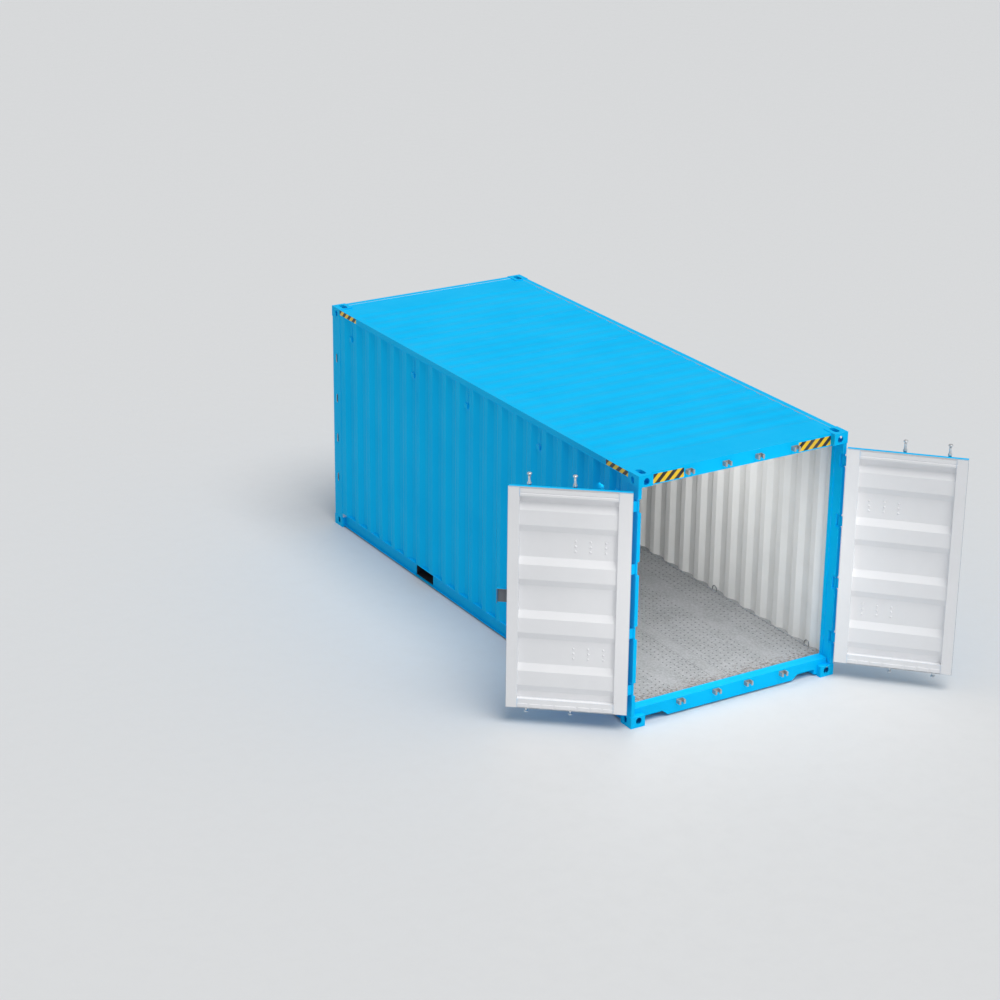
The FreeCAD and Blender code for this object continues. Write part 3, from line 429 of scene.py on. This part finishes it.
# Matrix that swings a closed leaf to its rest pose
def leafPose(side):
    hinge = next(j for j in frame["record"]["behaviour"]["joints"] if j["name"] == f"{side}_door_hinge")
    pin = Vector(hinge["pos_m"])
    turn = Matrix.Rotation(math.radians(-hinge["range_deg"][0]) * hinge["axis"][2], 4, "Z")
    return Matrix.Translation(pin) @ turn @ Matrix.Translation(-pin)


leafPoses = {side: leafPose(side) for side in ("left", "right")}
leafHeights = (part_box("leaf_stiles_left")[0][2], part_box("leaf_stiles_left")[1][2])
cadEndX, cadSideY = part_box("top_corner_castings")[1][:2]
facing = 0.3   # a face counts as facing a way when its normal leans this far towards it
hub = {"height": 1.3, "half": 0.031, "pastLeaf": 0.003}   # a lock bar's zinc middle, and where its ends begin


# Finish of a lock bar's face at a height: steel along the leaf, zinc at its ends and its hub
def barFinish(normal, middle):
    low, high = leafHeights
    pastEnds = middle.z > high + hub["pastLeaf"] or middle.z < low - hub["pastLeaf"]
    return int(pastEnds or abs(middle.z - hub["height"]) < hub["half"])



for node in ("bottom_corner_castings", "top_corner_castings", "rear_post_left", "rear_post_right",
             "door_header", "door_sill", "wall_vents",
             "post_hinge_lugs_left", "post_hinge_lugs_right", "hinge_blades_left", "hinge_blades_right"):
    coat(node, ["containerBlue"])
for node, sign in (("side_wall_left", -1), ("side_wall_right", 1)):
    coat(node, ["containerBlue", "lining"], lambda n, c, s=sign: int(n.y * s < 0))
coat("front_wall", ["containerBlue", "lining"], lambda n, c: int(n.x > 0))
coat("front_posts", ["containerBlue", "lining"],
     lambda n, c: int(n.x > facing or n.y * c.y < -facing))
coat("roof_panel", ["containerBlue", "lining"], lambda n, c: int(n.z < 0))
coat("front_header", ["containerBlue", "lining"],
     lambda n, c: int(n.x > facing or n.z < -facing))
coat("front_sill", ["containerBlue", "lining"], lambda n, c: int(n.x > facing))
coat("bottom_side_rails", ["containerBlue", "smoothDeck"],
     lambda n, c: int(n.y * c.y < -facing))
coat("top_side_rails", ["containerBlue", "lining"],
     lambda n, c: int(n.y * c.y < -facing or n.z < -facing))
for node in ("cross_members", "fork_pockets"):
    coat(node, ["underTar"])
for node, deck in (("floor_panels", "dimpledDeck"), ("floor_centre_strip", "smoothDeck")):
    coat(node, [deck, "underTar"], lambda n, c: int(n.z < -facing))
coat("cam_keepers", ["dullZinc"])
coat("lashing_rings", ["ringZinc"])
for node in ("bar_hardware_left", "bar_hardware_right"):
    coat(node, ["zinc"])
boxIn = leafPoses["left"].to_3x3() @ Vector((-1, 0, 0))
coat("lock_box", ["containerBlue", "boxSteel"], lambda n, c: int(n.dot(boxIn) > facing))
for side in ("left", "right"):
    inward = leafPoses[side].to_3x3() @ Vector((-1, 0, 0))
    for node in ("leaf_stiles", "leaf_rails"):
        coat(f"{node}_{side}", ["containerBlue", "leafInside"],
             lambda n, c, way=inward: int(n.dot(way) > facing))
    coat(f"leaf_panel_{side}", ["containerBlue", "leafInside"],
         lambda n, c, way=inward: int(n.dot(way) > 0))
    coat(f"leaf_gasket_{side}", ["sealRubber"])
    for place in ("inner", "outer"):
        coat(f"lock_bar_{side}_{place}", ["barSteel", "zinc"], barFinish)
        coat(f"handle_{side}_{place}", ["zinc"])
print("CAD nodes coated")


# Pieces that Blender adds

# Makes a piece from a bmesh built in the closed frame, poses it and lets it ride on its body
def addPiece(name, mesh, finishes, body, pose=None):
    data = bpy.data.meshes.new(name)
    if pose is not None:
        mesh.transform(pose)
    mesh.to_mesh(data)
    mesh.free()
    for key in finishes:
        data.materials.append(finish[key])
    piece = bpy.data.objects.new(name, data)
    bpy.context.scene.collection.objects.link(piece)
    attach(piece, body)
    return piece


# Adds a box between two corners, with its edges eased by a small bevel
def addSlab(mesh, low, high, bevel=0.0):
    low, high = Vector(low), Vector(high)
    place = Matrix.Translation((low + high) / 2) @ Matrix.Diagonal((*(high - low), 1.0))
    made = bmesh.ops.create_cube(mesh, size=1.0, matrix=place)["verts"]
    if bevel:
        edges = list({edge for vert in made for edge in vert.link_edges})
        bmesh.ops.bevel(mesh, geom=edges, offset=bevel, segments=2, affect="EDGES", profile=0.5)


# Adds a low rivet head that stands on a face
def addDome(mesh, centre, outward, radius, height, rings=3, sides=12):
    turn = Vector((0, 0, 1)).rotation_difference(Vector(outward)).to_matrix()
    rows = []
    for ring in range(rings):
        angle = math.pi / 2 * ring / rings
        row = []
        for step in range(sides):
            around = 2 * math.pi * step / sides
            flat = radius * math.cos(angle)
            local = Vector((flat * math.cos(around), flat * math.sin(around), height * math.sin(angle)))
            row.append(mesh.verts.new(Vector(centre) + turn @ local))
        rows.append(row)
    top = mesh.verts.new(Vector(centre) + turn @ Vector((0, 0, height)))
    for lower, upper in zip(rows, rows[1:]):
        for step in range(sides):
            after = (step + 1) % sides
            mesh.faces.new((lower[step], lower[after], upper[after], upper[step]))
    for step in range(sides):
        mesh.faces.new((rows[-1][step], rows[-1][(step + 1) % sides], top))
    mesh.faces.new(rows[0][::-1])
    for face in mesh.faces:
        face.smooth = True


tapeValues = {"stripe": 0.055, "thickness": 0.0008, "lean": 1, "fromEnd": 0.115,
              "headerSize": (0.385, 0.093), "headerRise": 0.012,
              "railSize": (0.375, 0.052), "railRise": 0.004}


# A strip of slanted stripes laid on a face: along and upward are its directions
def addTape(name, origin, along, upward, length, height):
    lean = tapeValues["lean"]
    along, upward = Vector(along), Vector(upward)
    outward = along.cross(upward)
    mesh = bmesh.new()
    corners = ((0, 0), (length, 0), (length, height), (0, height))
    thick = outward * tapeValues["thickness"]
    mesh.faces.new([
        mesh.verts.new(Vector(origin) + along * u + upward * v + thick) for u, v in corners
    ])
    count = int((length + height) / tapeValues["stripe"]) + 1
    slant = (along + upward * lean).normalized()
    for step in range(-count, 2 * count):
        at = Vector(origin) + along * (step * tapeValues["stripe"])
        bmesh.ops.bisect_plane(mesh, geom=mesh.verts[:] + mesh.edges[:] + mesh.faces[:],
                               plane_co=at, plane_no=slant.cross(outward))
    for face in mesh.faces:
        middle = face.calc_center_median() - Vector(origin)
        shifted = middle.dot(along) - lean * middle.dot(upward)
        face.material_index = int(math.floor(shifted / tapeValues["stripe"])) % 2
    bottom = bmesh.ops.duplicate(mesh, geom=mesh.faces[:])["geom"]
    bmesh.ops.translate(mesh, vec=-thick, verts=[g for g in bottom if isinstance(g, bmesh.types.BMVert)])
    bmesh.ops.reverse_faces(mesh, faces=[g for g in bottom if isinstance(g, bmesh.types.BMFace)])
    rims = [edge for edge in mesh.edges if edge.is_boundary]
    bmesh.ops.bridge_loops(mesh, edges=rims)
    addPiece(name, mesh, ["tapeYellow", "tapeBlack"], "container")


def addHazardTapes():
    low, high = (Vector(corner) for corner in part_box("door_header"))
    half = high.y - tapeValues["fromEnd"]
    z = low.z + tapeValues["headerRise"]
    size = tapeValues["headerSize"]
    addTape("tape_header_left", (high.x, -half, z), (0, 1, 0), (0, 0, 1), *size)
    addTape("tape_header_right", (high.x, half - size[0], z), (0, 1, 0), (0, 0, 1), *size)
    railLow, railHigh = (Vector(corner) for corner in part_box("top_side_rails"))
    size = tapeValues["railSize"]
    z = railLow.z + tapeValues["railRise"]
    for end, x in (("door", railHigh.x - size[0]), ("front", railLow.x)):
        addTape(f"tape_rail_left_{end}", (x, railLow.y, z), (1, 0, 0), (0, 0, 1), *size)
        addTape(f"tape_rail_right_{end}", (x + size[0], railHigh.y, z), (-1, 0, 0), (0, 0, 1), *size)


rivetValues = {"radius": 0.0115, "height": 0.0085, "rowPitch": 0.051, "columns": (0.240, 0.385, 0.525),
               "heights": (0.763, 1.863), "face": 0.068, "hingeEdge": 0.055}


def addRivets(side):
    sign = 1 if side == "right" else -1
    mesh = bmesh.new()
    leafX = cadEndX - rivetValues["face"]
    edgeY = cadSideY - rivetValues["hingeEdge"]
    for height in rivetValues["heights"]:
        for column in rivetValues["columns"]:
            for row in (-1, 0, 1):
                centre = (leafX, sign * (edgeY - column), height + row * rivetValues["rowPitch"])
                addDome(mesh, centre, (-1, 0, 0), rivetValues["radius"], rivetValues["height"])
    addPiece(f"rivets_{side}", mesh, ["leafInside"], f"{side}_door", leafPoses[side])


stripValues = {
    "inset": 0.116, "thickness": 0.008, "height": 0.034, "gap": 0.020, "rise": 0.008,
    "stileIn": 0.110, "stileOut": 0.180, "endGap": 0.005, "bevel": 0.0008, "topBevel": 0.0010,
    "lengths": (0.105, 0.110, 0.110, 0.215, 0.110, 0.105, 0.100),
    "top": ((0.012, 0.050, 0.003), (0.060, 0.082, 0.010)),   # from and to below the leaf's top, thickness
}


# Clamping strips of the seal along the top and bottom of the leaf's back
def addSealStrips(side):
    sign = 1 if side == "right" else -1
    leafLow, leafHigh = leafHeights
    v = stripValues
    x1 = cadEndX - v["inset"]
    x0 = x1 - v["thickness"]
    start, stop = v["stileIn"] + v["endGap"], cadSideY - v["stileOut"] - v["endGap"]
    scale = (stop - start - v["gap"] * (len(v["lengths"]) - 1)) / sum(v["lengths"])
    mesh = bmesh.new()
    y = start
    for length in v["lengths"]:
        ends = sorted((sign * y, sign * (y + length * scale)))
        z0 = leafLow + v["rise"]
        addSlab(mesh, (x0, ends[0], z0), (x1, ends[1], z0 + v["height"]), v["bevel"])
        y += length * scale + v["gap"]
    ends = sorted((sign * start, sign * stop))
    for high, low, thickness in v["top"]:
        addSlab(mesh, (x1 - thickness, ends[0], leafHigh - low), (x1, ends[1], leafHigh - high),
                v["topBevel"])
    addPiece(f"seal_strips_{side}", mesh, ["leafInside"], f"{side}_door", leafPoses[side])


capValues = {
    "radius": 0.0225, "edge": 0.004, "stem": 0.0125, "dish": 0.4,
    "header": (2.532, 2.541, 2.558), "sill": (0.125, 0.116, 0.100),   # heights: stem's start, seat, end
    "barDepth": 0.030, "barY": {"inner": 0.190, "outer": 0.618},
}


# Turned body about an upright line; each point of its profile is a radius and a height
def addTurned(mesh, centre, profile, sides=24):
    rows = [[mesh.verts.new((centre[0] + radius * math.cos(2 * math.pi * step / sides),
                             centre[1] + radius * math.sin(2 * math.pi * step / sides), z))
             for step in range(sides)] for radius, z in profile]
    faces = [mesh.faces.new(rows[0]), mesh.faces.new(rows[-1][::-1])]
    for lower, upper in zip(rows, rows[1:]):
        for step in range(sides):
            after = (step + 1) % sides
            faces.append(mesh.faces.new((lower[step], upper[step], upper[after], lower[after])))
            faces[-1].smooth = True
    bmesh.ops.recalc_face_normals(mesh, faces=faces)


# Caps on both ends of a lock bar, beyond its cams
def addBarCaps(side, place):
    v = capValues
    sign = 1 if side == "right" else -1
    mesh = bmesh.new()
    centre = (cadEndX - v["barDepth"], sign * v["barY"][place])
    for start, seat, stop in (v["header"], v["sill"]):
        ease = v["edge"] if stop > seat else -v["edge"]
        addTurned(mesh, centre, (
            (v["stem"], start), (v["stem"], seat), (v["radius"] - v["edge"], seat),
            (v["radius"], seat + ease), (v["radius"], stop - ease),
            (v["radius"] - v["edge"], stop), (v["radius"] * v["dish"], stop),
        ))
    addPiece(f"bar_caps_{side}_{place}", mesh, ["zinc"], f"lock_bar_{side}_{place}", leafPoses[side])


weldValues = {"radius": 0.0028, "ripple": 0.0007, "step": 0.012, "uneven": 0.0004, "endSize": 0.4,
              "sides": 6, "noseDepth": 0.042}


# A rippled bead along a straight seam
def addWeldRun(mesh, start, stop, size=1.0):
    v = weldValues
    start, stop = Vector(start), Vector(stop)
    way = stop - start
    count = max(2, int(way.length / v["step"]))
    turn = Vector((0, 0, 1)).rotation_difference(way).to_matrix()
    sides = v["sides"]
    rows = []
    for index in range(count + 1):
        middle = start + way * (index / count)
        radius = v["radius"] + v["ripple"] * (index % 2) + random.uniform(0, v["uneven"])
        radius *= size * (v["endSize"] if index in (0, count) else 1.0)
        rows.append([mesh.verts.new(middle + turn @ Vector((
            radius * math.cos(2 * math.pi * step / sides),
            radius * math.sin(2 * math.pi * step / sides), 0,
        ))) for step in range(sides)])
    for lower, upper in zip(rows, rows[1:]):
        for step in range(sides):
            after = (step + 1) % sides
            mesh.faces.new((lower[step], lower[after], upper[after], upper[step])).smooth = True
    mesh.faces.new(rows[0][::-1])
    mesh.faces.new(rows[-1])


# Beads where posts meet castings, rails meet posts and the sheets meet their rails
def addBodyWelds():
    mesh = bmesh.new()
    castLow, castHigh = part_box("bottom_corner_castings"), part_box("top_corner_castings")
    lowTop, highBottom = castLow[1][2], castHigh[0][2]
    postLow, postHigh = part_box("rear_post_right")
    railLow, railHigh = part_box("bottom_side_rails")
    topLow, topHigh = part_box("top_side_rails")
    for sign in (-1, 1):
        sideY, noseY = sign * postHigh[1], sign * (cadSideY - weldValues["noseDepth"])
        for z in (lowTop, highBottom):
            addWeldRun(mesh, (postLow[0], sideY, z), (postHigh[0], sideY, z))
            addWeldRun(mesh, (postHigh[0], sideY, z), (postHigh[0], noseY, z))
            addWeldRun(mesh, (-postHigh[0], sideY, z), (-postLow[0], sideY, z))
        for x in (railLow[0], railHigh[0]):
            addWeldRun(mesh, (x, sideY, lowTop), (x, sideY, topLow[2]))
        addWeldRun(mesh, (topLow[0], sideY, topLow[2]), (topHigh[0], sideY, topLow[2]))
    addPiece("frame_welds", mesh, ["containerBlue"], "container")


plateValues = {
    "thickness": 0.0015, "bevel": 0.0005, "panelFace": 0.066,
    "rivet": (0.004, 0.002), "rivetInset": 0.011,   # radius and height, distance from the plate's edges
    "left": ((0.300, 0.760, 0.155, 0.230),),   # distance from the middle, height, width, tallness
    "right": ((0.350, 0.760, 0.237, 0.110), (0.830, 0.760, 0.257, 0.120)),
}


# Blank metal plates riveted to the outer faces of the leaves
def addDataPlates(side):
    v = plateValues
    sign = 1 if side == "right" else -1
    mesh = bmesh.new()
    x0 = cadEndX - v["panelFace"]
    x1 = x0 + v["thickness"]
    for across, z, width, tall in v[side]:
        y = sign * across
        addSlab(mesh, (x0, y - width / 2, z - tall / 2), (x1, y + width / 2, z + tall / 2), v["bevel"])
        fromY, fromZ = width / 2 - v["rivetInset"], tall / 2 - v["rivetInset"]
        for dy in (-1, 1):
            for dz in (-1, 1):
                addDome(mesh, (x1, y + dy * fromY, z + dz * fromZ), (1, 0, 0), *v["rivet"])
    addPiece(f"data_plates_{side}", mesh, ["zinc"], f"{side}_door", leafPoses[side])


# Where a pressed sheet bends: places along it from its middle, each with how far in it lies, 0 to 1
def pressedBends(count, outerFlat, slope, innerFlat, half):
    pitch = outerFlat + innerFlat + 2 * slope
    bends = [(-half, 0.0)]
    for index in range(count):
        middle = (index - (count - 1) / 2) * pitch
        reach = innerFlat / 2
        bends += [(middle - reach - slope, 0.0), (middle - reach, 1.0),
                  (middle + reach, 1.0), (middle + reach + slope, 0.0)]
    return bends + [(half, 0.0)]


# Thin closed strip between two lines of points, as thick as lift
def addStrip(mesh, nearLine, farLine, lift):
    lift = Vector(lift)
    rows = [[mesh.verts.new(Vector(point) + shift) for point in line]
            for line in (nearLine, farLine) for shift in (Vector(), lift)]
    nearLow, nearHigh, farLow, farHigh = rows
    faces = []
    for first, second in ((nearHigh, farHigh), (farLow, nearLow), (nearLow, nearHigh), (farHigh, farLow)):
        for index in range(len(first) - 1):
            faces.append(mesh.faces.new((first[index], first[index + 1], second[index + 1], second[index])))
    for index in (0, -1):
        faces.append(mesh.faces.new((nearLow[index], nearHigh[index], farHigh[index], farLow[index])))
    bmesh.ops.recalc_face_normals(mesh, faces=faces)


linerValues = {
    "wallBends": (20, 0.072, 0.068, 0.070), "wallIn": (0.0075, 0.0415), "railIn": 0.0525,
    "railTop": 0.175, "thickness": 0.0006,
    "leafBends": (4, 0.258, 0.072, 0.148), "sheetIn": (0.0686, 0.1026),
    "stileBack": 0.1236, "railBack": 0.1156, "leafMiddle": 1.313,
    "openingY": (0.110, 1.039), "openingZ": (0.274, 2.352), "endGap": 0.001,
}


# Deck paint on the inner edge of the bottom rail, bay by bay behind the side sheet
def addLedgeLiner(side):
    v = linerValues
    sign = 1 if side == "right" else -1
    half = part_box(f"side_wall_{side}")[1][0]
    bends = pressedBends(*v["wallBends"], half)
    shallow, deep = v["wallIn"]
    near = [(u, sign * (cadSideY - shallow - (deep - shallow) * f), v["railTop"]) for u, f in bends]
    far = [(u, sign * (cadSideY - v["railIn"]), v["railTop"]) for u, _ in bends]
    mesh = bmesh.new()
    addStrip(mesh, near, far, (0, 0, v["thickness"]))
    addPiece(f"ledge_liner_{side}", mesh, ["smoothDeck"], "container")


# Pale inner sides of the leaf's frame, behind its pressed sheet
def addLeafLiner(side):
    v = linerValues
    sign = 1 if side == "right" else -1
    half = (v["openingZ"][1] - v["openingZ"][0]) / 2
    bends = pressedBends(*v["leafBends"], half)
    shallow, deep = v["sheetIn"]
    mesh = bmesh.new()
    for y, way in zip(v["openingY"], (1, -1)):
        near = [(cadEndX - shallow - (deep - shallow) * f, sign * y, v["leafMiddle"] + u)
                for u, f in bends]
        far = [(cadEndX - v["stileBack"], sign * y, v["leafMiddle"] + u) for u, _ in bends]
        addStrip(mesh, near, far, (0, sign * way * v["thickness"], 0))
    for z, way in zip(v["openingZ"], (1, -1)):
        ends = [sign * (v["openingY"][0] + v["endGap"]), sign * (v["openingY"][1] - v["endGap"])]
        near = [(cadEndX - shallow, y, z) for y in ends]
        far = [(cadEndX - v["railBack"], y, z) for y in ends]
        addStrip(mesh, near, far, (0, 0, way * v["thickness"]))
    addPiece(f"leaf_liner_{side}", mesh, ["leafInside"], f"{side}_door", leafPoses[side])


seamValues = {
    "size": 0.55,
    "wallX": (-2.224, -1.112, 0.0, 1.112, 2.224), "wallIn": 0.0048, "wallZ": (0.178, 2.523),
    "roofX": (-1.5675, -0.5225, 0.5225, 1.5675), "roofY": 1.150, "roofZ": 2.5813,
}


# Weld seams where the wall and roof sheets are joined to each other
def addSheetSeams():
    v = seamValues
    for side, sign in (("left", -1), ("right", 1)):
        mesh = bmesh.new()
        for x in v["wallX"]:
            y = sign * (cadSideY - v["wallIn"])
            addWeldRun(mesh, (x, y, v["wallZ"][0]), (x, y, v["wallZ"][1]), v["size"])
        addPiece(f"wall_seams_{side}", mesh, ["containerBlue"], "container")
    mesh = bmesh.new()
    for x in v["roofX"]:
        addWeldRun(mesh, (x, -v["roofY"], v["roofZ"]), (x, v["roofY"], v["roofZ"]), v["size"])
    addPiece("roof_seams", mesh, ["containerBlue"], "container")


addHazardTapes()
addBodyWelds()
addSheetSeams()
for side in ("left", "right"):
    addDataPlates(side)
    addLedgeLiner(side)
    addLeafLiner(side)
    addRivets(side)
    addSealStrips(side)
    for place in capValues["barY"]:
        addBarCaps(side, place)


# Stage, lights and camera

stageValues = {"size": 240.0, "world": (0.95, 0.97, 1.0), "worldStrength": 0.40}
lampColour = (1.0, 0.99, 0.97)
sunValues = {"azimuth": 2.0, "elevation": 65.0, "strength": 2.05, "softness": 40.0}
areaLightValues = {
    "door_light": {
        "place": (9.6, -1.1, 2.6), "target": (0.4, 0.45, 1.05), "size": (1.4, 1.4),
        "power": 7.0, "spread": 28.0,
    },
    "hold_light": {
        "place": (1.8, -0.1, 2.42), "target": (1.6, 0.1, 0.0), "size": (0.8, 2.4),
        "power": 18.5, "spread": 170.0,
    },
}
cameraValues = {"place": (21.082, -13.737, 11.057), "azimuth": 148.588, "elevation": -21.660,
                "roll": 0.59, "lens": 92.10, "sensor": 36.0, "clipEnd": 400.0}


def addStudioFloor():
    mesh = bmesh.new()
    half = stageValues["size"] / 2
    corners = ((-half, -half), (half, -half), (half, half), (-half, half))
    mesh.faces.new([mesh.verts.new((x, y, 0.0)) for x, y in corners])
    data = bpy.data.meshes.new("studio_floor")
    mesh.to_mesh(data)
    mesh.free()
    data.materials.append(finish["studioFloor"])
    floor = bpy.data.objects.new("studio_floor", data)
    bpy.context.scene.collection.objects.link(floor)


# Unit vector towards an azimuth and an elevation in degrees
def direction(azimuth, elevation):
    azimuth, elevation = math.radians(azimuth), math.radians(elevation)
    flat = math.cos(elevation)
    return Vector((flat * math.cos(azimuth), flat * math.sin(azimuth), math.sin(elevation)))


def addLights():
    v = sunValues
    data = bpy.data.lights.new("sun", "SUN")
    data.energy, data.color, data.angle = v["strength"], lampColour, math.radians(v["softness"])
    sun = bpy.data.objects.new("sun", data)
    towards = direction(v["azimuth"], v["elevation"])
    sun.rotation_euler = towards.to_track_quat("Z", "Y").to_euler()
    bpy.context.scene.collection.objects.link(sun)
    for name, v in areaLightValues.items():
        data = bpy.data.lights.new(name, "AREA")
        data.shape, data.energy, data.color = "RECTANGLE", v["power"], lampColour
        data.size, data.size_y = v["size"]
        data.spread = math.radians(v["spread"])
        light = bpy.data.objects.new(name, data)
        light.location = v["place"]
        towards = Vector(v["target"]) - light.location
        light.rotation_euler = towards.to_track_quat("-Z", "Y").to_euler()
        light.visible_camera = False
        bpy.context.scene.collection.objects.link(light)
    world = bpy.data.worlds.new("studioWorld")
    world.use_nodes = True
    background = world.node_tree.nodes["Background"]
    background.inputs["Color"].default_value = (*stageValues["world"], 1.0)
    background.inputs["Strength"].default_value = stageValues["worldStrength"]
    bpy.context.scene.world = world


def addCamera():
    v = cameraValues
    forward = direction(v["azimuth"], v["elevation"])
    data = bpy.data.cameras.new("camera")
    data.lens = v["lens"]
    data.sensor_width = v["sensor"]
    data.clip_end = v["clipEnd"]
    camera = bpy.data.objects.new("camera", data)
    turn = forward.to_track_quat("-Z", "Y").to_matrix().to_4x4()
    roll = Matrix.Rotation(math.radians(v["roll"]), 4, "Z")
    camera.matrix_world = Matrix.Translation(Vector(v["place"])) @ turn @ roll
    bpy.context.scene.collection.objects.link(camera)
    bpy.context.scene.camera = camera


addStudioFloor()
addLights()
addCamera()
bpy.context.scene.view_settings.view_transform = "Standard"
print("stage, lights and camera set")
